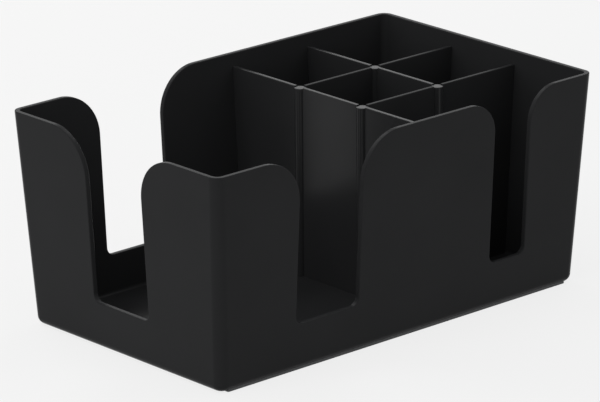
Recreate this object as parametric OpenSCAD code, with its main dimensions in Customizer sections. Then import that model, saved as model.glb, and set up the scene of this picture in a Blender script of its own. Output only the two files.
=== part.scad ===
// Bar caddy: an open tub with a napkin bay, slotted posts with divider panels
// between them, and two foot strips. Millimetres, +Z up. The origin is on the
// ground under the middle of the tub, +X runs along the length away from the
// napkin bay, and -Y is the side with two finger notches.

/* [Tub] */
// Length over the rim
top_length = 240; // [220:1:280]
// Width over the rim
top_width = 146.2; // [136:0.1:170]
// Height of the rim above the ground
total_height = 105.8; // [90:0.1:130]
// Lean of the outer wall faces, in degrees
outer_lean = 3.28; // [1:0.01:3.3]
// Lean of the inner wall faces, in degrees
inner_lean = 3.4; // [3.3:0.05:5]
// Wall thickness at the rim
rim_wall = 2.5; // [1.8:0.1:4]
// Thickness of the floor
floor_thick = 3.6; // [2.6:0.1:5]
// Outer radius of the upright corners
corner_radius = 5.3; // [4.2:0.1:12]
// Inner radius of the upright corners
inner_corner_radius = 3; // [2:0.1:8]
// Radius of the outer bottom edge
bottom_edge_radius = 3.7; // [2.6:0.1:4]
// Radius where the inner walls meet the floor
floor_fillet = 1.6; // [0.8:0.1:2]

/* [Finger notches] */
// Height of every notch sill above the ground
sill_height = 23.2; // [12:0.1:40]
// Radius of the two lower corners of a notch
sill_corner_radius = 4; // [1:0.1:6]
// Width of the three notches of the napkin bay
bay_notch_width = 39.1; // [25:0.1:44]
// Radius that opens the mouth of a napkin bay notch
bay_notch_flare = 22.3; // [10:0.1:23]
// How far the notch of the end wall lies behind the middle of that wall
end_notch_shift = 0.5; // [-3:0.1:3]
// Width of the notch of the straw row
straw_notch_width = 23.3; // [14:0.1:30]
// Radius that opens the mouth of the straw row notch
straw_notch_flare = 16.7; // [8:0.1:18]
// How far the notch of the straw row lies beyond the cell dividers
straw_notch_shift = 0.6; // [-3:0.1:3]

/* [Dividers] */
// Thickness of every divider panel
panel_thick = 2; // [1.6:0.1:2.6]
// How far the panel tops lie below the rim
panel_drop = 6.5; // [4:0.1:30]
// Clear length of the napkin bay at the panel tops
bay_clear = 133.2; // [120:0.1:135]
// Share of the length clear behind the napkin bay that the first column of cells takes
first_column_share = 0.484; // [0.42:0.001:0.58]
// Clear width of the rear row at the panel tops
rear_row_clear = 46.7; // [38:0.1:48]
// Clear width of the middle row
middle_row_clear = 41.6; // [36:0.1:46]
// Depth of the locating grooves in the walls and floor
groove_depth = 0.5; // [0.3:0.1:0.8]

/* [Posts] */
// Diameter of the posts
post_diameter = 5.8; // [5.4:0.1:8]
// How far the post tops lie below the panel tops
post_drop = 0.45; // [0:0.05:1]
// Depth of the slots that take the panel tongues
slot_depth = 1.4; // [1:0.1:1.6]
// Thickness of the closed top over the slots
post_cap = 1.5; // [1:0.1:4]
// Length of the spigot that stands in the floor
spigot_length = 1.3; // [0.8:0.1:1.6]

/* [Foot strips] */
// Width of a foot strip
strip_width = 6; // [4:0.1:12]
// How far a foot strip stands out under the floor
strip_stand = 0.3; // [0.2:0.1:1.5]
// Depth of the seat that a foot strip lies in
strip_seat = 1.2; // [0.8:0.1:1.5]
// Setback of a foot strip from the foot of the long wall
strip_setback = 1; // [0.8:0.1:2.2]
// Setback of the ends of a foot strip from the feet of the end walls
strip_end_setback = 5.4; // [5.3:0.1:20]
// Radius of the outer corners of a foot strip
strip_corner_radius = 1; // [0.5:0.1:2]

/* [Fits] */
// Clearance on each side of a panel, tongue or spigot in its seat
fit_gap = 0.05; // [0.02:0.01:0.15]
// Clearance at the ends of the panels and strips
end_gap = 0.1; // [0.05:0.01:0.3]

/* [Hidden] */

$fn = 64;
// How far a cutter runs past the faces that it cuts
overrun = 10;
// Flat steps in a quarter round of the tub
corner_steps = 8;

underside = strip_stand;
floor_top = underside + floor_thick;
panel_top = total_height - panel_drop;
panel_foot = floor_top - groove_depth;
post_top = panel_top - post_drop;
slot_top = post_top - post_cap;
post_radius = post_diameter / 2;
core_half = post_radius - slot_depth;
spigot_radius = core_half - fit_gap;

// Half length and half width at height z, on the outer and the inner wall faces
function outer_half(size, z) = size / 2 - (total_height - z) * tan(outer_lean);
function inner_half(size, z) = size / 2 - rim_wall - (total_height - z) * tan(inner_lean);

// Centre planes of the panels, from the clear sizes of the bay, cells and rows
bay_x = bay_clear + panel_thick / 2 - inner_half(top_length, panel_top);
cells_clear = inner_half(top_length, panel_top) - bay_x - panel_thick / 2 - panel_thick;
cell_x = bay_x + first_column_share * cells_clear + panel_thick;
rear_y = inner_half(top_width, panel_top) - rear_row_clear - panel_thick / 2;
front_y = rear_y - middle_row_clear - panel_thick;

// The notches of the long walls lie in the middle of the bay and at the cell dividers
mid_height = total_height / 2;
bay_notch_x = (bay_x - panel_thick / 2 - inner_half(top_length, mid_height)) / 2;
straw_notch_x = cell_x + straw_notch_shift;

strip_half_length = outer_half(top_length, underside) - strip_end_setback;
strip_outer_y = outer_half(top_width, underside) - strip_setback;

// One ring of points round a rectangle with round corners, at height z
function round_ring(half_l, half_w, radius, z) = [
    for (corner = [0 : 3], step = [0 : corner_steps])
        let (turn = 90 * (corner + step / corner_steps),
             side_x = corner == 0 || corner == 3 ? 1 : -1,
             side_y = corner < 2 ? 1 : -1)
            [side_x * (half_l - radius) + radius * cos(turn),
             side_y * (half_w - radius) + radius * sin(turn), z]
];

// Rings of a leaning wall from its round bottom edge up to height top_z
function wall_rings(half_l, half_w, radius, edge, bottom_z, top_half_l, top_half_w, top_z) = concat(
    [for (step = [0 : corner_steps])
        let (turn = 90 * step / corner_steps, inset = edge * (1 - sin(turn)))
            round_ring(half_l - inset, half_w - inset, radius - inset,
                bottom_z + edge * (1 - cos(turn)))],
    [round_ring(top_half_l, top_half_w, radius, top_z)]
);

// Closed solid through a stack of rings that have as many points each
module ring_stack(rings) {
    count = len(rings[0]);
    points = [for (ring = rings) each ring];
    last = (len(rings) - 1) * count;
    polyhedron(points, concat(
        [[for (i = [0 : count - 1]) i]],
        [[for (i = [count - 1 : -1 : 0]) last + i]],
        [for (row = [0 : len(rings) - 2], i = [0 : count - 1])
            let (next = (i + 1) % count)
                [row * count + i, (row + 1) * count + i,
                 (row + 1) * count + next, row * count + next]]
    ));
}

module tub_outside() {
    edge_z = underside + bottom_edge_radius;
    ring_stack(wall_rings(
        outer_half(top_length, edge_z), outer_half(top_width, edge_z),
        corner_radius, bottom_edge_radius, underside,
        top_length / 2, top_width / 2, total_height));
}

module tub_inside() {
    edge_z = floor_top + floor_fillet;
    high_z = total_height + overrun;
    ring_stack(wall_rings(
        inner_half(top_length, edge_z), inner_half(top_width, edge_z),
        inner_corner_radius, floor_fillet, floor_top,
        inner_half(top_length, high_z), inner_half(top_width, high_z), high_z));
}

// Upright outline of a notch: round lower corners and a mouth that opens in arcs
module notch_outline(width, flare) {
    half = width / 2;
    corner = half - sill_corner_radius;
    translate([-half, sill_height + sill_corner_radius])
        square([width, total_height - sill_height]);
    translate([-corner, sill_height])
        square([2 * corner, total_height - sill_height]);
    for (side = [-1, 1])
        translate([side * corner, sill_height + sill_corner_radius])
            circle(sill_corner_radius);
    difference() {
        translate([-half - flare, total_height - flare])
            square([width + 2 * flare, flare + overrun]);
        for (side = [-1, 1])
            translate([side * (half + flare), total_height - flare])
                circle(flare);
    }
}

// Outlines below are drawn as [along the panel, height]
function wall_end(size, side, depth) = [
    [side * (inner_half(size, panel_foot) + depth), panel_foot],
    [side * (inner_half(size, panel_top) + depth), panel_top]
];

// Tongue in the slot of a post at place, for a panel that runs to that post
// in direction side, with the panel butting against the post above the slot
function post_end(place, side) =
    let (tongue = place - side * (core_half + end_gap),
         shoulder = place - side * (post_radius + end_gap),
         tongue_top = slot_top - end_gap)
    [[tongue, panel_foot], [tongue, tongue_top], [shoulder, tongue_top], [shoulder, panel_top]];

function reversed(list) = [for (i = [len(list) - 1 : -1 : 0]) list[i]];
function panel_outline(low_end, high_end) = concat(high_end, reversed(low_end));

// Stands an outline up along Y, or along X, as a plate about the given plane
module plate_along_y(plane_x, thick)
    translate([plane_x, 0, 0])
        rotate([90, 0, 90])
            linear_extrude(height = thick, center = true)
                children();

module plate_along_x(plane_y, thick)
    translate([0, plane_y, 0])
        rotate([90, 0, 0])
            linear_extrude(height = thick, center = true)
                children();

// Cuts the locating grooves of the panels into the walls and floor
module grooves() {
    thick = panel_thick + 2 * fit_gap;
    rear_wall = wall_end(top_width, 1, groove_depth);
    front_wall = wall_end(top_width, -1, groove_depth);
    end_wall = wall_end(top_length, 1, groove_depth);
    plate_along_y(bay_x, thick)
        polygon(panel_outline(front_wall, rear_wall));
    plate_along_y(cell_x, thick)
        polygon(panel_outline([[front_y, panel_foot], [front_y, panel_top]], rear_wall));
    for (row_y = [front_y, rear_y])
        plate_along_x(row_y, thick)
            polygon(panel_outline([[bay_x, panel_foot], [bay_x, panel_top]], end_wall));
}

module sockets()
    for (x = [bay_x, cell_x], y = [front_y, rear_y])
        translate([x, y, floor_top - spigot_length - end_gap])
            cylinder(r = core_half, h = spigot_length + end_gap + overrun);

// Plan of a foot strip, along the front (-1) or rear (1) wall
module strip_plan(side, gap) {
    reach_x = strip_half_length - strip_corner_radius;
    round_y = strip_outer_y - strip_corner_radius;
    mirror([0, side < 0 ? 1 : 0])
        intersection() {
            union() {
                translate([-reach_x, 0])
                    square([2 * reach_x, strip_outer_y]);
                translate([-strip_half_length - gap, 0])
                    square([2 * (strip_half_length + gap), round_y]);
                for (end = [-1, 1])
                    translate([end * reach_x, round_y])
                        circle(strip_corner_radius + gap);
            }
            translate([-top_length / 2, strip_outer_y - strip_width - gap])
                square([top_length, strip_width + gap]);
        }
}

module strip_seats()
    for (side = [-1, 1])
        translate([0, 0, underside - overrun])
            linear_extrude(height = overrun + strip_seat) {
                strip_plan(side, end_gap);
                mirror([0, side < 0 ? 1 : 0])
                    translate([-strip_half_length - end_gap, strip_outer_y - strip_corner_radius])
                        square([2 * (strip_half_length + end_gap), overrun]);
            }

module tub()
    color("#1b1c1d")
        difference() {
            tub_outside();
            tub_inside();
            translate([bay_notch_x, 0, 0])
                rotate([90, 0, 0])
                    linear_extrude(height = top_width + 2 * overrun, center = true)
                        notch_outline(bay_notch_width, bay_notch_flare);
            translate([-inner_half(top_length, sill_height) + rim_wall, end_notch_shift, 0])
                rotate([90, 0, -90])
                    linear_extrude(height = top_length / 2)
                        notch_outline(bay_notch_width, bay_notch_flare);
            translate([straw_notch_x, -inner_half(top_width, sill_height) + rim_wall, 0])
                rotate([90, 0, 0])
                    linear_extrude(height = top_width / 2)
                        notch_outline(straw_notch_width, straw_notch_flare);
            grooves();
            sockets();
            strip_seats();
        }

// A panel across the tub at plane_x, or along it at plane_y, between two ends
module cross_panel(plane_x, low_end, high_end)
    color("#202122")
        plate_along_y(plane_x, panel_thick)
            polygon(panel_outline(low_end, high_end));

module long_panel(plane_y, low_end, high_end)
    color("#202122")
        plate_along_x(plane_y, panel_thick)
            polygon(panel_outline(low_end, high_end));

wall_tongue = groove_depth - end_gap;

module bay_divider_rear()
    cross_panel(bay_x, post_end(rear_y, -1), wall_end(top_width, 1, wall_tongue));

module bay_divider_middle()
    cross_panel(bay_x, post_end(front_y, -1), post_end(rear_y, 1));

module bay_divider_front()
    cross_panel(bay_x, wall_end(top_width, -1, wall_tongue), post_end(front_y, 1));

module cell_divider_rear()
    cross_panel(cell_x, post_end(rear_y, -1), wall_end(top_width, 1, wall_tongue));

module cell_divider_middle()
    cross_panel(cell_x, post_end(front_y, -1), post_end(rear_y, 1));

module long_divider_rear_inner()
    long_panel(rear_y, post_end(bay_x, -1), post_end(cell_x, 1));

module long_divider_rear_end()
    long_panel(rear_y, post_end(cell_x, -1), wall_end(top_length, 1, wall_tongue));

module long_divider_front_inner()
    long_panel(front_y, post_end(bay_x, -1), post_end(cell_x, 1));

module long_divider_front_end()
    long_panel(front_y, post_end(cell_x, -1), wall_end(top_length, 1, wall_tongue));

// A post with a closed top, a slot for each panel that meets it and a spigot
// in the floor. Slot directions are in degrees, 0 towards +X.
module post(x, y, directions)
    color("#242526")
        translate([x, y, 0]) {
            difference() {
                translate([0, 0, floor_top])
                    cylinder(r = post_radius, h = post_top - floor_top);
                for (direction = directions)
                    rotate([0, 0, direction])
                        translate([core_half, -panel_thick / 2 - fit_gap, floor_top - overrun])
                            cube([post_radius, panel_thick + 2 * fit_gap,
                                  slot_top - floor_top + overrun]);
            }
            translate([0, 0, floor_top - spigot_length])
                cylinder(r = spigot_radius, h = spigot_length + panel_thick);
        }

module post_bay_rear()
    post(bay_x, rear_y, [0, 90, 270]);

module post_bay_front()
    post(bay_x, front_y, [0, 90, 270]);

module post_cell_rear()
    post(cell_x, rear_y, [0, 90, 180, 270]);

module post_cell_front()
    post(cell_x, front_y, [0, 90, 180]);

module foot_strip(side)
    color("#37393a")
        linear_extrude(height = strip_stand + strip_seat)
            strip_plan(side, 0);

module foot_strip_front()
    foot_strip(-1);

module foot_strip_rear()
    foot_strip(1);

tub();
bay_divider_rear();
bay_divider_middle();
bay_divider_front();
cell_divider_rear();
cell_divider_middle();
long_divider_rear_inner();
long_divider_rear_end();
long_divider_front_inner();
long_divider_front_end();
post_bay_rear();
post_bay_front();
post_cell_rear();
post_cell_front();
foot_strip_front();
foot_strip_rear();
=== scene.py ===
from math import cos, pi, radians, sin, tan

import bmesh
import bpy
from mathutils import Matrix, Vector


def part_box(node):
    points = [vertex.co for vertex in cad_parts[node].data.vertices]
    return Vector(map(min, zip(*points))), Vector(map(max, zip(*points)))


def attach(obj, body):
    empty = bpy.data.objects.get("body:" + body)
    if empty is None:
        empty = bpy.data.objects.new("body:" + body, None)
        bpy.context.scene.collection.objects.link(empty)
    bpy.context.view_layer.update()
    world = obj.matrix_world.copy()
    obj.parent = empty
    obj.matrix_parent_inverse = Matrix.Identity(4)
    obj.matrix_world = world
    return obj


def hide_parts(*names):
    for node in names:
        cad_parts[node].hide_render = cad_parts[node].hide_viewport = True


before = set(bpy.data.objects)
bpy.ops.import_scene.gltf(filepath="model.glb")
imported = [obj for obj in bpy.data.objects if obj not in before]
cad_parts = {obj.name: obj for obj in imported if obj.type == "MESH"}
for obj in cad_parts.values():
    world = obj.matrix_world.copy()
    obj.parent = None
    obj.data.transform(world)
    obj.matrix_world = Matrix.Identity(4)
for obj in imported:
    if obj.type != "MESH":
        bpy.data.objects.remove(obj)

bl_info = {
    "name": "Bar caddy",
    "version": (1, 0, 0),
    "blender": (4, 5, 0),
    "location": "3D View > Sidebar > Caddy",
    "description": "Builds a black bar caddy with a napkin bay, divided cells and foot strips",
    "category": "Object",
}

MM = 0.001
X = Vector((1, 0, 0))
Y = Vector((0, 1, 0))
Z = Vector((0, 0, 1))

# How far a cutting tool runs past the faces that it cuts
OVER = 10 * MM
# How near two places are taken as one when parts of a mesh are picked
NEAR = 0.01 * MM
# How near two corners are merged into one
MERGE = NEAR / 10
# How far a tool's face stays off a face that it would otherwise lie in
SKIM = 0.02 * MM
# Least cosine at which a face looks, or an edge runs, a given way
LOOKS_COSINE = 0.9
RUNS_COSINE = 0.98
# Faces that meet at less than the first angle are shaded as one, and the rounding of
# the rim takes edges whose faces meet at more than the second
SMOOTH_ANGLE = radians(35)
SHARP_ANGLE = radians(40)

# Flat steps in each kind of bend, and sides of a post
CORNER_STEPS = 14
LOWER_STEPS = 8
FLARE_STEPS = 18
STRIP_STEPS = 10
EDGE_STEPS = 3
POST_SIDES = 48

# Sizes of the noises in the finishes, and depths of the bumps
CLOUD = 45 * MM
PATCH = 14 * MM
MOULD_GRAIN = 0.45 * MM
MOULD_DEPTH = 0.003 * MM
SCUFF = 5 * MM
RUBBER_GRAIN = 0.3 * MM
RUBBER_DEPTH = 0.02 * MM
# How far tints and roughness swing as a noise goes from 0 to 1, and its middle
PLASTIC_TINT = 0.12
PATCH_ROUGHNESS = 0.08
GRAIN_ROUGHNESS = 0.04
RUBBER_TINT = 0.25
SCUFF_ROUGHNESS = 0.15
NOISE_MIDDLE = 0.5
# Share of each finer layer in a noise
NOISE_ROUGHNESS = 0.55
# Finish of the rubber and the floor that the sidebar doesn't change
RUBBER_GLOSS = 0.3
FLOOR_ROUGHNESS = 0.8

# Side of the floor in metres, sensor in millimetres, and how far the camera sees in metres
FLOOR_SIZE = 12
SENSOR_WIDTH = 36
CAMERA_REACH = 100

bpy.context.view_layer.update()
TUB_LOW, TUB_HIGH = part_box("tub")


def length(label, what, millimetres):
    """A length in metres that the sidebar can change."""
    return bpy.props.FloatProperty(
        name=label, description=what, default=millimetres * MM, precision=5, unit="LENGTH")


def angle(label, what, degrees):
    """An angle that the sidebar can change."""
    return bpy.props.FloatProperty(
        name=label, description=what, default=radians(degrees), subtype="ANGLE")


def share(label, what, value):
    """A number from 0 to 1 that the sidebar can change."""
    return bpy.props.FloatProperty(
        name=label, description=what, default=value, min=0, max=1, subtype="FACTOR")


def power(label, what, watts):
    """A lamp's power that the sidebar can change."""
    return bpy.props.FloatProperty(
        name=label, description=what, default=watts, min=0, unit="POWER")


def colour(label, what, shades):
    """A linear colour that the sidebar can change."""
    return bpy.props.FloatVectorProperty(
        name=label, description=what, default=shades, min=0, max=1, size=3, subtype="COLOR")


class CaddyTub(bpy.types.PropertyGroup):
    """Sizes of the tub's walls, floor and corners."""

    outer_lean: angle("Outer lean", "Lean of the outer wall faces", 3.28)
    inner_lean: angle("Inner lean", "Lean of the inner wall faces", 3.4)
    rim_wall: length("Rim wall", "Wall thickness at the rim", 2.5)
    floor_thick: length("Floor", "Thickness of the floor", 3.6)
    corner_radius: length("Outer corners", "Outer radius of the upright corners", 5.3)
    inner_corner_radius: length("Inner corners", "Inner radius of the upright corners", 3)
    bottom_edge_radius: length("Bottom edge", "Radius of the outer bottom edge", 3.7)
    floor_fillet: length("Floor fillet", "Radius where the walls meet the floor", 1.6)
    edge_round: length("Rim rounding", "Rounding of the rim and notch edges", 0.45)


class CaddyNotches(bpy.types.PropertyGroup):
    """Sizes of the four finger notches."""

    sill_height: length("Sill height", "Height of the notch sills above the ground", 23.2)
    sill_radius: length("Sill corners", "Radius of the lower corners of a notch", 4)
    bay_width: length("Bay notch", "Width of the three notches of the napkin bay", 39.1)
    bay_flare: length("Bay flare", "Radius that opens a napkin bay notch", 22.3)
    end_shift: length("End notch", "From the middle of the end wall to the rear", 0.5)
    straw_width: length("Straw notch", "Width of the notch of the straw row", 23.3)
    straw_flare: length("Straw flare", "Radius that opens the straw row notch", 16.7)
    straw_shift: length("Straw notch place", "From the cell dividers to the end", 0.6)


class CaddyDividers(bpy.types.PropertyGroup):
    """Sizes of the seats between dividers, posts and tub."""

    slot_depth: length("Post slots", "Depth of the slots in the posts", 1.4)
    post_cap: length("Post caps", "Closed top over the slots of a post", 1.5)
    spigot_length: length("Spigots", "Length of the spigot under a post", 1.3)
    fit_gap: length("Side gap", "Clearance beside a panel, tongue or spigot", 0.05)
    end_gap: length("End gap", "Clearance at the ends of panels and strips", 0.1)
    edge_round: length("Edge rounding", "Rounding of the divider and post tops", 0.35)


class CaddyStrips(bpy.types.PropertyGroup):
    """Sizes of the two foot strips."""

    corner_radius: length("Corners", "Radius of the outer corners of a foot strip", 1)
    edge_round: length("Edge rounding", "Rounding of the standing edges", 0.2)


class CaddyFinish(bpy.types.PropertyGroup):
    """Colours and finishes of the plastic, the rubber and the floor."""

    plastic: colour("Plastic", "Colour of the tub and dividers", (0.0270, 0.0275, 0.0285))
    tub_roughness: share("Tub roughness", "Roughness of the tub's faces", 0.25)
    tub_gloss: share("Tub gloss", "Specular level of the tub", 0.04)
    divider_roughness: share("Divider roughness", "Roughness of the divider faces", 0.22)
    post_gloss: share("Post gloss", "Specular level of the posts", 0.17)
    cross_gloss: share("Cross gloss", "Specular level of the cross dividers", 0.14)
    long_gloss: share("Long gloss", "Specular level of the long dividers", 0.02)
    rubber: colour("Rubber", "Colour of the foot strips", (0.118, 0.120, 0.123))
    rubber_roughness: share("Rubber roughness", "Roughness of the foot strips", 0.7)
    floor: colour("Floor", "Colour of the studio floor", (0.6, 0.6, 0.6))
    floor_white: share("Floor white", "Share of the floor that shows plain white", 0.8)


class CaddyStudio(bpy.types.PropertyGroup):
    """Camera and lamps."""

    azimuth: angle("Azimuth", "Turn of the camera about the caddy, from the front", -42.043)
    elevation: angle("Elevation", "Height of the camera as an angle", 18.327)
    roll: angle("Roll", "Tilt of the camera about its own axis", -0.517)
    distance: length("Distance", "From the camera to the ground under the caddy", 2199.53)
    aside: length("Aside", "Shift of the camera to its right", -3.414)
    above: length("Above", "Shift of the camera to its top", 47.331)
    lift: length("Lift", "Rise of the camera over the height that the photo gives", 1.05)
    lens: length("Lens", f"Focal length on a sensor {SENSOR_WIDTH} mm wide", 275.28)
    back_lamp: power("Back lamp", "High soft box behind the rear wall", 4.5)
    low_lamp: power("Low lamp", "Low soft box behind the rear wall", 2)
    glint_lamp: power("Glint lamp", "Low soft box that the post tops reflect", 1.5)
    left_lamp: power("Left lamp", "High soft box beyond the napkin bay", 4.4)
    right_lamp: power("Right lamp", "High soft box beyond the end wall of the cells", 3.2)
    world: share("World", "Strength of the light from all round", 0.5)


# Modelling steps, each taken as a modeller takes it by hand


def object_mode():
    """Leave edit mode."""
    if bpy.context.mode != "OBJECT":
        bpy.ops.object.mode_set(mode="OBJECT")


def deselect():
    """Leave edit mode with nothing selected."""
    object_mode()
    bpy.ops.object.select_all(action="DESELECT")


def only(piece):
    """Make a piece the one selected and active object."""
    deselect()
    piece.select_set(True)
    bpy.context.view_layer.objects.active = piece


def pick(piece, kind, wanted):
    """Select a piece's verts, edges or faces that pass a test, in edit mode."""
    if piece.mode != "EDIT":
        only(piece)
        bpy.ops.object.mode_set(mode="EDIT")
    bpy.ops.mesh.select_mode(type={"verts": "VERT", "edges": "EDGE", "faces": "FACE"}[kind])
    bpy.ops.mesh.select_all(action="DESELECT")
    mesh = bmesh.from_edit_mesh(piece.data)
    mesh.normal_update()
    found = [part for part in getattr(mesh, kind) if wanted(part)]
    if not found:
        raise RuntimeError(f"{piece.name}: none of its {kind} passes the test")
    for part in found:
        part.select_set(True)
    mesh.select_flush_mode()
    bmesh.update_edit_mesh(piece.data)


def looks(face, way):
    """Whether a face looks a given way."""
    return face.normal.dot(way) > LOOKS_COSINE


def runs(edge, way):
    """Whether an edge runs along a way, or leans a little from it."""
    along = (edge.verts[1].co - edge.verts[0].co).normalized()
    return abs(along.dot(way)) > RUNS_COSINE


def lies_at(corner, way, reach):
    """Whether a corner lies at a given reach along a way."""
    return abs(corner.co.dot(way) - reach) < NEAR


def ends_at(edge, way, reach):
    """Whether both ends of an edge lie at a given reach along a way."""
    return all(lies_at(corner, way, reach) for corner in edge.verts)


def named(piece, name):
    """Name an object and its data alike."""
    piece.name = name
    piece.data.name = name
    return piece


def settled(piece, name):
    """Put a new piece's place into its mesh."""
    bpy.ops.object.transform_apply(location=True, rotation=True, scale=True)
    return named(piece, name)


def block(name, corner, opposite):
    """A box between two opposite corners."""
    low = Vector(map(min, corner, opposite))
    high = Vector(map(max, corner, opposite))
    deselect()
    bpy.ops.mesh.primitive_cube_add(size=1, location=(low + high) / 2, scale=high - low)
    return settled(bpy.context.object, name)


def rod(name, foot, radius, height):
    """An upright cylinder that stands on its foot."""
    deselect()
    bpy.ops.mesh.primitive_cylinder_add(
        vertices=POST_SIDES, radius=radius, depth=height, location=foot + Z * height / 2)
    return settled(bpy.context.object, name)


def extrude(shift):
    """Extrude the selected faces by a shift."""
    bpy.ops.mesh.extrude_region_move(TRANSFORM_OT_translate={"value": shift})


def round_edges(radius, segments):
    """Round the selected edges."""
    bpy.ops.mesh.bevel(
        offset=radius, offset_type="OFFSET", segments=segments, profile=0.5,
        affect="EDGES", clamp_overlap=False)


def cut(piece, tools):
    """Take the tools out of a piece and delete them."""
    for tool in tools:
        only(piece)
        modifier = piece.modifiers.new("cut", "BOOLEAN")
        modifier.operation = "DIFFERENCE"
        modifier.solver = "EXACT"
        modifier.object = tool
        bpy.ops.object.modifier_apply(modifier=modifier.name)
        bpy.data.objects.remove(tool)


def copied(piece, name, shift=(0, 0, 0), turn=0):
    """A copy of a piece with its own mesh, turned about the upright axis and moved."""
    only(piece)
    bpy.ops.object.duplicate(linked=False)
    twin = bpy.context.object
    twin.location = shift
    twin.rotation_euler.z = turn
    return settled(twin, name)


def finish_piece(piece, finish):
    """Shade a piece, give it its finish, and let it stand for its CAD node."""
    only(piece)
    bpy.ops.object.shade_smooth_by_angle(angle=SMOOTH_ANGLE)
    modifier = piece.modifiers.new("flat faces stay flat", "WEIGHTED_NORMAL")
    modifier.keep_sharp = True
    bpy.ops.object.modifier_apply(modifier=modifier.name)
    piece.data.materials.clear()
    piece.data.materials.append(once(finish))
    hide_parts(piece.name.removeprefix("caddy_"))
    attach(piece, "root")


# Shader maths and materials


class Wire:
    """A node's output that takes part in sums."""

    def __init__(self, board, socket):
        self.board = board
        self.socket = socket

    def maths(self, operation, first, second):
        """The outcome of an operation on two numbers or wires."""
        return self.board.node("ShaderNodeMath", {"operation": operation}, [first, second])

    def __add__(self, other):
        return self.maths("ADD", self, other)

    def __sub__(self, other):
        return self.maths("SUBTRACT", self, other)

    def __rsub__(self, other):
        return self.maths("SUBTRACT", other, self)

    def __mul__(self, other):
        return self.maths("MULTIPLY", self, other)

    __radd__ = __add__
    __rmul__ = __mul__


class Board:
    """The nodes of a material or a world."""

    def __init__(self, owner):
        owner.use_nodes = True
        self.owner = owner
        self.tree = owner.node_tree
        self.tree.nodes.clear()

    def node(self, kind, settings, inputs, output=0):
        """Add a node: its type, its settings, then the values or wires of its sockets."""
        node = self.tree.nodes.new(kind)
        for setting, value in settings.items():
            setattr(node, setting, value)
        pairs = inputs.items() if isinstance(inputs, dict) else enumerate(inputs)
        for socket, value in pairs:
            if isinstance(value, Wire):
                self.tree.links.new(value.socket, node.inputs[socket])
            else:
                node.inputs[socket].default_value = value
        return Wire(self, node.outputs[output]) if node.outputs else None

    def noise(self, size, detail=2.0):
        """Noise from 0 to 1 with lumps of a given size in metres."""
        place = self.node("ShaderNodeTexCoord", {}, [], output="Object")
        return self.node("ShaderNodeTexNoise", {}, {
            "Vector": place, "Scale": 1 / size, "Detail": detail,
            "Roughness": NOISE_ROUGHNESS})

    def bump(self, height, depth):
        """A normal from a height of 0 to 1 that stands for a real depth."""
        return self.node("ShaderNodeBump", {}, {
            "Strength": 1.0, "Distance": depth, "Height": height}, output="Normal")

    def tint(self, shade, base, spread):
        """A colour that goes from a darker to a lighter base with a shade."""
        darker = [part * (1 - spread) for part in base] + [1]
        lighter = [part * (1 + spread) for part in base] + [1]
        return self.node(
            "ShaderNodeMix", {"data_type": "RGBA"}, {0: shade, 6: darker, 7: lighter}, output=2)

    def shown(self, shader):
        """Show a shader and return the material or world that has it."""
        kind = "World" if isinstance(self.owner, bpy.types.World) else "Material"
        self.node(f"ShaderNodeOutput{kind}", {}, {"Surface": shader})
        return self.owner


def once(make):
    """A material that is made the first time it is asked for."""
    name = make.__name__
    if name not in bpy.data.materials:
        make(Board(bpy.data.materials.new(name)), bpy.context.scene.caddy_finish)
    return bpy.data.materials[name]


def moulded_plastic(board, base, roughness, gloss):
    """Satin black plastic: a fine moulded grain, faint flow clouds and handled patches."""
    clouds = board.noise(CLOUD)
    grain = board.noise(MOULD_GRAIN, detail=3.0)
    handled = board.noise(PATCH, detail=4.0)
    board.shown(board.node("ShaderNodeBsdfPrincipled", {}, {
        "Base Color": board.tint(clouds, base, PLASTIC_TINT),
        "Roughness": (roughness + PATCH_ROUGHNESS * (handled - NOISE_MIDDLE)
                      + GRAIN_ROUGHNESS * (grain - NOISE_MIDDLE)),
        "Specular IOR Level": gloss,
        "Normal": board.bump(grain, MOULD_DEPTH),
    }))


def tub_finish(board, finish):
    """The least glossy plastic but that of the long dividers."""
    moulded_plastic(board, finish.plastic, finish.tub_roughness, finish.tub_gloss)


def post_finish(board, finish):
    """The glossiest plastic, for round tops that catch the light."""
    moulded_plastic(board, finish.plastic, finish.divider_roughness, finish.post_gloss)


def cross_finish(board, finish):
    """Plastic a little less glossy than that of the posts."""
    moulded_plastic(board, finish.plastic, finish.divider_roughness, finish.cross_gloss)


def long_finish(board, finish):
    """Plastic that keeps the tops of the long dividers darker than the others."""
    moulded_plastic(board, finish.plastic, finish.divider_roughness, finish.long_gloss)


def strip_finish(board, finish):
    """Matt dark rubber with a grain and scuffs from the counter."""
    grain = board.noise(RUBBER_GRAIN, detail=3.0)
    scuffs = board.noise(SCUFF, detail=5.0)
    board.shown(board.node("ShaderNodeBsdfPrincipled", {}, {
        "Base Color": board.tint(scuffs, finish.rubber, RUBBER_TINT),
        "Roughness": finish.rubber_roughness + SCUFF_ROUGHNESS * (scuffs - NOISE_MIDDLE),
        "Specular IOR Level": RUBBER_GLOSS,
        "Normal": board.bump(grain, RUBBER_DEPTH),
    }))


# The rays that see the floor's white share
RAYS = ("Is Camera Ray", "Is Glossy Ray", "Is Transmission Ray")


def floor_finish(board, finish):
    """Plain pale floor, part of which shows plain white to the camera and in reflections."""
    paint = board.node("ShaderNodeBsdfPrincipled", {}, {
        "Base Color": [*finish.floor, 1],
        "Roughness": FLOOR_ROUGHNESS,
        "Specular IOR Level": 0.0,
    })
    white = board.node("ShaderNodeEmission", {}, {"Color": (1, 1, 1, 1), "Strength": 1.0})
    seen = sum(board.node("ShaderNodeLightPath", {}, [], output=ray) for ray in RAYS)
    board.shown(board.node("ShaderNodeMixShader", {}, [seen * finish.floor_white, paint, white]))


# The shapes of the pieces

POSTS = ("post_bay_rear", "post_bay_front", "post_cell_rear", "post_cell_front")


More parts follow.
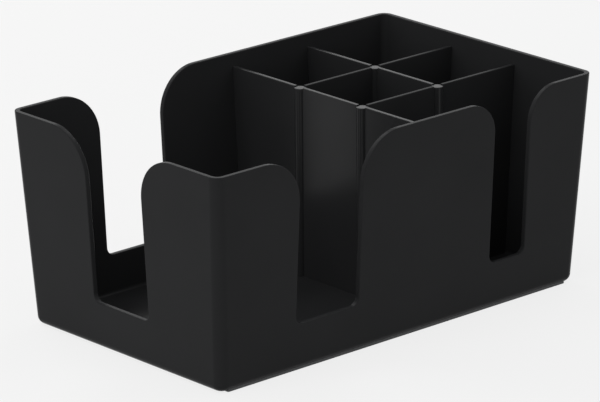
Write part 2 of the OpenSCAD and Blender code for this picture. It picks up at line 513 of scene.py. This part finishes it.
def leaning_block(name, half_x, half_y, low_z, high_z, slope, corner_radius, edge_radius):
    """A block with walls that lean outwards, round upright corners and a round bottom edge.

    half_x and half_y are half its length and width at high_z.
    """
    piece = block(name, Vector((-half_x, -half_y, low_z)), Vector((half_x, half_y, high_z)))
    inset = (high_z - low_z) * tan(slope)
    pick(piece, "faces", lambda face: looks(face, -Z))
    bpy.ops.transform.resize(
        value=(1 - inset / half_x, 1 - inset / half_y, 1), center_override=(0, 0, low_z))
    pick(piece, "edges", lambda edge: runs(edge, Z))
    round_edges(corner_radius, CORNER_STEPS)
    pick(piece, "edges", lambda edge: ends_at(edge, Z, low_z))
    round_edges(edge_radius, LOWER_STEPS)
    object_mode()
    return piece


def notch_tool(across, middle, through, start, end, width, flare):
    """A tool that cuts a notch through a wall from start to end.

    across runs along the wall, with the middle of the notch on it, and through runs
    through the wall. The tool is a slot with round lower corners that opens to the rim
    in two arcs.
    """
    sizes = bpy.context.scene.caddy_notches
    rim = TUB_HIGH.z + SKIM
    sides = (middle - width / 2, middle + width / 2)
    piece = block(
        "notch_tool",
        across * sides[0] + through * start + Z * sizes.sill_height,
        across * sides[1] + through * end + Z * rim)
    pick(piece, "faces", lambda face: looks(face, Z))
    extrude(Z * OVER)
    for way in (across, -across):
        pick(piece, "faces",
             lambda face: looks(face, way) and face.calc_center_median().z > rim)
        extrude(way * (flare + OVER))
    pick(piece, "edges", lambda edge: ends_at(edge, Z, rim)
         and any(ends_at(edge, across, side) for side in sides))
    round_edges(flare, FLARE_STEPS)
    pick(piece, "edges",
         lambda edge: ends_at(edge, Z, sizes.sill_height) and runs(edge, through))
    round_edges(sizes.sill_radius, LOWER_STEPS)
    object_mode()
    return piece


def plate(name, corner, opposite, wall_ways):
    """An upright plate whose ends lean with the walls that they meet."""
    piece = block(name, corner, opposite)
    low_z = min(corner.z, opposite.z)
    inset = abs(opposite.z - corner.z) * tan(bpy.context.scene.caddy_tub.inner_lean)
    for way in wall_ways:
        reach = max(corner.dot(way), opposite.dot(way))
        pick(piece, "verts",
             lambda vert: lies_at(vert, Z, low_z) and lies_at(vert, way, reach))
        bpy.ops.transform.translate(value=way * -inset)
    object_mode()
    return piece


def moved_out(box, way, shift):
    """A box whose side that looks a given way is moved out by a shift."""
    low, high = box
    if way in (X, Y):
        return low, high + way * shift
    return low + way * shift, high


def divider(node, post_ways, wall_ways):
    """A divider panel in its node's box, with tongues towards its posts."""
    sizes = bpy.context.scene.caddy_dividers
    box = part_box(node)
    for way in post_ways:
        box = moved_out(box, way, -sizes.slot_depth)
    low, high = box
    piece = plate("caddy_" + node, low, high, wall_ways)
    tongue_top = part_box("post_bay_rear")[1].z - sizes.post_cap - sizes.end_gap
    pick(piece, "faces", lambda face: True)
    bpy.ops.mesh.bisect(plane_co=Z * tongue_top, plane_no=Z)
    for way in post_ways:
        pick(piece, "faces",
             lambda face: looks(face, way) and face.calc_center_median().z < tongue_top)
        extrude(way * sizes.slot_depth)
    along = post_ways[0]
    pick(piece, "edges", lambda edge: ends_at(edge, Z, high.z) and runs(edge, along))
    round_edges(sizes.edge_round, EDGE_STEPS)
    object_mode()
    return piece


def box_round(nodes):
    """The box round several CAD nodes."""
    boxes = [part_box(node) for node in nodes]
    low = Vector(map(min, *(low for low, high in boxes)))
    high = Vector(map(max, *(high for low, high in boxes)))
    return low, high


def groove_tool(nodes, wall_ways):
    """A tool that cuts the grooves for a row of divider panels."""
    sizes = bpy.context.scene.caddy_dividers
    low, high = box_round(nodes)
    side = X if Y in wall_ways else Y
    box = low - side * sizes.fit_gap, high + side * sizes.fit_gap
    for way in wall_ways:
        box = moved_out(box, way, sizes.end_gap)
    return plate("groove_tool", *box, wall_ways)


def socket_tool(node):
    """A tool that cuts the floor socket of a post."""
    sizes = bpy.context.scene.caddy_dividers
    low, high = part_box(node)
    foot = (low + high) / 2
    foot.z = low.z - sizes.end_gap
    radius = (high.x - low.x) / 2 - sizes.slot_depth
    return rod("socket_tool", foot, radius, sizes.spigot_length + OVER)


def strip_tool(node, outward):
    """A tool that cuts the seat of a foot strip, open to the outside."""
    gap = bpy.context.scene.caddy_dividers.end_gap
    low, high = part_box(node)
    box = low - X * gap - Z * OVER, high + X * gap
    box = moved_out(moved_out(box, outward, OVER), -outward, gap)
    return block("strip_tool", *box)


def post(node, slot_ways):
    """A post with a closed top, a slot for each panel that meets it and a spigot."""
    sizes = bpy.context.scene.caddy_dividers
    low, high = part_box(node)
    radius = (high.x - low.x) / 2
    core = radius - sizes.slot_depth
    foot = (low + high) / 2
    foot.z = low.z + sizes.spigot_length
    piece = rod("caddy_" + node, foot, radius, high.z - foot.z)
    pick(piece, "faces", lambda face: looks(face, -Z))
    bpy.ops.mesh.inset(thickness=radius - core + sizes.fit_gap)
    extrude(Z * -sizes.spigot_length)
    pick(piece, "edges", lambda edge: ends_at(edge, Z, high.z))
    round_edges(sizes.edge_round, EDGE_STEPS)
    panel_low, panel_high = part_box("bay_divider_middle")
    half_slot = (panel_high.x - panel_low.x) / 2 + sizes.fit_gap
    tools = []
    for way in slot_ways:
        side = Y if way.y == 0 else X
        tools.append(block(
            "slot_tool",
            foot + way * core - side * half_slot - Z * OVER,
            foot + way * (radius + OVER) + side * half_slot
            + Z * (high.z - sizes.post_cap - foot.z)))
    cut(piece, tools)
    return piece


# The operators, one for each piece or group of like pieces and one for the stage


class CADDY_OT_tub(bpy.types.Operator):
    """Build the tub with its four notches and its seats"""

    bl_idname = "caddy.tub"
    bl_label = "Tub"

    def execute(self, context):
        tub = context.scene.caddy_tub
        notches = context.scene.caddy_notches
        rim = TUB_HIGH.z
        piece = leaning_block(
            "caddy_tub", TUB_HIGH.x, TUB_HIGH.y, TUB_LOW.z, rim,
            tub.outer_lean, tub.corner_radius, tub.bottom_edge_radius)
        widening = OVER * tan(tub.inner_lean) - tub.rim_wall
        cavity = leaning_block(
            "cavity_tool", TUB_HIGH.x + widening, TUB_HIGH.y + widening,
            TUB_LOW.z + tub.floor_thick, rim + OVER,
            tub.inner_lean, tub.inner_corner_radius, tub.floor_fillet)
        bay_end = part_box("bay_divider_middle")[0].x
        half_way_in = TUB_HIGH.x - tub.rim_wall - rim / 2 * tan(tub.inner_lean)
        bay_middle = (bay_end - half_way_in) / 2
        cell_low, cell_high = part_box("cell_divider_middle")
        straw_middle = (cell_low.x + cell_high.x) / 2 + notches.straw_shift
        beyond_x = TUB_HIGH.x + OVER
        beyond_y = TUB_HIGH.y + OVER
        inside = TUB_HIGH.y / 2
        cut(piece, [
            cavity,
            notch_tool(X, bay_middle, Y, -beyond_y, beyond_y,
                       notches.bay_width, notches.bay_flare),
            notch_tool(Y, notches.end_shift, X, -beyond_x, -inside,
                       notches.bay_width, notches.bay_flare),
            notch_tool(X, straw_middle, Y, -beyond_y, -inside,
                       notches.straw_width, notches.straw_flare),
        ])
        pick(piece, "edges", lambda edge: edge.calc_face_angle(0) > SHARP_ANGLE
             and all(vert.co.z > notches.sill_height - NEAR for vert in edge.verts))
        round_edges(tub.edge_round, EDGE_STEPS)
        bpy.ops.mesh.select_all(action="SELECT")
        bpy.ops.mesh.remove_doubles(threshold=MERGE)
        cut(piece, [
            groove_tool(("bay_divider_front", "bay_divider_rear"), (Y, -Y)),
            groove_tool(("cell_divider_middle", "cell_divider_rear"), (Y,)),
            groove_tool(("long_divider_front_inner", "long_divider_front_end"), (X,)),
            groove_tool(("long_divider_rear_inner", "long_divider_rear_end"), (X,)),
            *(socket_tool(node) for node in POSTS),
            strip_tool("foot_strip_front", -Y),
            strip_tool("foot_strip_rear", Y),
        ])
        finish_piece(piece, tub_finish)
        return {"FINISHED"}


class CADDY_OT_cross_dividers(bpy.types.Operator):
    """Build the five divider panels that run across the tub"""

    bl_idname = "caddy.cross_dividers"
    bl_label = "Cross dividers"

    def execute(self, context):
        to_cells = X * (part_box("cell_divider_rear")[0].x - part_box("bay_divider_rear")[0].x)
        rear = divider("bay_divider_rear", [-Y], [Y])
        middle = divider("bay_divider_middle", [Y, -Y], [])
        front = divider("bay_divider_front", [Y], [-Y])
        cell_rear = copied(rear, "caddy_cell_divider_rear", to_cells)
        cell_middle = copied(middle, "caddy_cell_divider_middle", to_cells)
        for piece in (rear, middle, front, cell_rear, cell_middle):
            finish_piece(piece, cross_finish)
        return {"FINISHED"}


class CADDY_OT_long_dividers(bpy.types.Operator):
    """Build the four divider panels that run along the tub"""

    bl_idname = "caddy.long_dividers"
    bl_label = "Long dividers"

    def execute(self, context):
        rear_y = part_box("long_divider_rear_inner")[0].y
        to_front = Y * (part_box("long_divider_front_inner")[0].y - rear_y)
        inner = divider("long_divider_rear_inner", [X, -X], [])
        end = divider("long_divider_rear_end", [-X], [X])
        front_inner = copied(inner, "caddy_long_divider_front_inner", to_front)
        front_end = copied(end, "caddy_long_divider_front_end", to_front)
        for piece in (inner, end, front_inner, front_end):
            finish_piece(piece, long_finish)
        return {"FINISHED"}


class CADDY_OT_posts(bpy.types.Operator):
    """Build the four slotted posts at the crossings of the dividers"""

    bl_idname = "caddy.posts"
    bl_label = "Posts"

    def execute(self, context):
        to_front = Y * (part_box("post_bay_front")[0].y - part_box("post_bay_rear")[0].y)
        bay_rear = post("post_bay_rear", (X, Y, -Y))
        bay_front = copied(bay_rear, "caddy_post_bay_front", to_front)
        cell_rear = post("post_cell_rear", (X, Y, -X, -Y))
        cell_front = post("post_cell_front", (X, Y, -X))
        for piece in (bay_rear, bay_front, cell_rear, cell_front):
            finish_piece(piece, post_finish)
        return {"FINISHED"}


class CADDY_OT_foot_strips(bpy.types.Operator):
    """Build the two foot strips under the long sides"""

    bl_idname = "caddy.foot_strips"
    bl_label = "Foot strips"

    def execute(self, context):
        sizes = context.scene.caddy_strips
        low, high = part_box("foot_strip_front")
        front = block("caddy_foot_strip_front", low, high)
        pick(front, "edges", lambda edge: runs(edge, Z) and ends_at(edge, Y, low.y))
        round_edges(sizes.corner_radius, STRIP_STEPS)
        pick(front, "edges", lambda edge: ends_at(edge, Z, low.z))
        round_edges(sizes.edge_round, EDGE_STEPS)
        rear = copied(front, "caddy_foot_strip_rear", turn=pi)
        for piece in (front, rear):
            finish_piece(piece, strip_finish)
        return {"FINISHED"}


# Each soft box: turn about the caddy from the front and rise over the floor, in degrees,
# then distance, width and height in metres
LAMPS = {
    "back_lamp": (180, 42, 1.4, 1.0, 0.7),
    "low_lamp": (180, 15, 1.6, 1.2, 0.5),
    "glint_lamp": (138, 18, 1.6, 1.2, 0.6),
    "left_lamp": (270, 45, 1.4, 0.9, 0.7),
    "right_lamp": (100, 48, 1.5, 0.9, 0.7),
}


def away(turn, rise):
    """The way from the caddy to a place at a turn from the front and a rise."""
    return Vector((sin(turn) * cos(rise), -cos(turn) * cos(rise), sin(rise)))


def soft_box(name, middle, watts):
    """A soft area lamp that looks at the middle of the caddy."""
    turn, rise, distance, width, height = LAMPS[name]
    way = away(radians(turn), radians(rise))
    facing = (-way).to_track_quat("-Z", "Y").to_euler()
    bpy.ops.object.light_add(type="AREA", location=middle + way * distance, rotation=facing)
    lamp = named(bpy.context.object, name)
    lamp.data.shape = "RECTANGLE"
    lamp.data.size = width
    lamp.data.size_y = height
    lamp.data.energy = watts


class CADDY_OT_stage(bpy.types.Operator):
    """Set up the floor, the lamps, the world and the camera"""

    bl_idname = "caddy.stage"
    bl_label = "Stage"

    def execute(self, context):
        studio = context.scene.caddy_studio
        deselect()
        bpy.ops.mesh.primitive_plane_add(size=FLOOR_SIZE)
        floor = named(bpy.context.object, "studio_floor")
        floor.data.materials.append(once(floor_finish))

        middle = Vector((0, 0, TUB_HIGH.z / 2))
        for lamp in LAMPS:
            soft_box(lamp, middle, getattr(studio, lamp))

        world = Board(bpy.data.worlds.new("studio_light"))
        context.scene.world = world.owner
        world.shown(world.node("ShaderNodeBackground", {}, {
            "Color": (1, 1, 1, 1), "Strength": studio.world}))

        turn = studio.azimuth
        back = away(turn, studio.elevation)
        level = Vector((cos(turn), sin(turn), 0))
        upright = back.cross(level)
        right = level * cos(studio.roll) + upright * sin(studio.roll)
        top = upright * cos(studio.roll) - level * sin(studio.roll)
        place = back * studio.distance + right * studio.aside + top * studio.above
        bpy.ops.object.camera_add()
        camera = named(bpy.context.object, "camera")
        camera.matrix_world = (
            Matrix.Translation(place + Z * studio.lift)
            @ Matrix((right, top, back)).transposed().to_4x4())
        camera.data.sensor_width = SENSOR_WIDTH
        camera.data.lens = studio.lens / MM
        camera.data.clip_end = CAMERA_REACH
        context.scene.camera = camera
        context.scene.view_settings.view_transform = "Standard"
        return {"FINISHED"}


class CADDY_PT_sidebar(bpy.types.Panel):
    """The caddy's sizes, finishes and building steps"""

    bl_idname = "CADDY_PT_sidebar"
    bl_label = "Bar caddy"
    bl_space_type = "VIEW_3D"
    bl_region_type = "UI"
    bl_category = "Caddy"

    def draw(self, context):
        for operator in OPERATORS:
            self.layout.operator(operator.bl_idname)
        for group in GROUPS:
            column = self.layout.column(align=True)
            for size in GROUPS[group].__annotations__:
                column.prop(getattr(context.scene, group), size)


GROUPS = {
    "caddy_tub": CaddyTub,
    "caddy_notches": CaddyNotches,
    "caddy_dividers": CaddyDividers,
    "caddy_strips": CaddyStrips,
    "caddy_finish": CaddyFinish,
    "caddy_studio": CaddyStudio,
}
OPERATORS = (
    CADDY_OT_tub,
    CADDY_OT_cross_dividers,
    CADDY_OT_long_dividers,
    CADDY_OT_posts,
    CADDY_OT_foot_strips,
    CADDY_OT_stage,
)


def register():
    """Add the caddy's sizes, operators and sidebar to Blender."""
    for kind in (*GROUPS.values(), *OPERATORS, CADDY_PT_sidebar):
        bpy.utils.register_class(kind)
    for name, kind in GROUPS.items():
        setattr(bpy.types.Scene, name, bpy.props.PointerProperty(type=kind))


def unregister():
    """Take the caddy's sizes, operators and sidebar out of Blender."""
    for name in GROUPS:
        delattr(bpy.types.Scene, name)
    for kind in reversed((*GROUPS.values(), *OPERATORS, CADDY_PT_sidebar)):
        bpy.utils.unregister_class(kind)


def main():
    """Build the caddy."""
    register()
    bpy.ops.caddy.tub()
    bpy.ops.caddy.cross_dividers()
    bpy.ops.caddy.long_dividers()
    bpy.ops.caddy.posts()
    bpy.ops.caddy.foot_strips()
    bpy.ops.caddy.stage()
    object_mode()


if __name__ == "__main__":
    main()
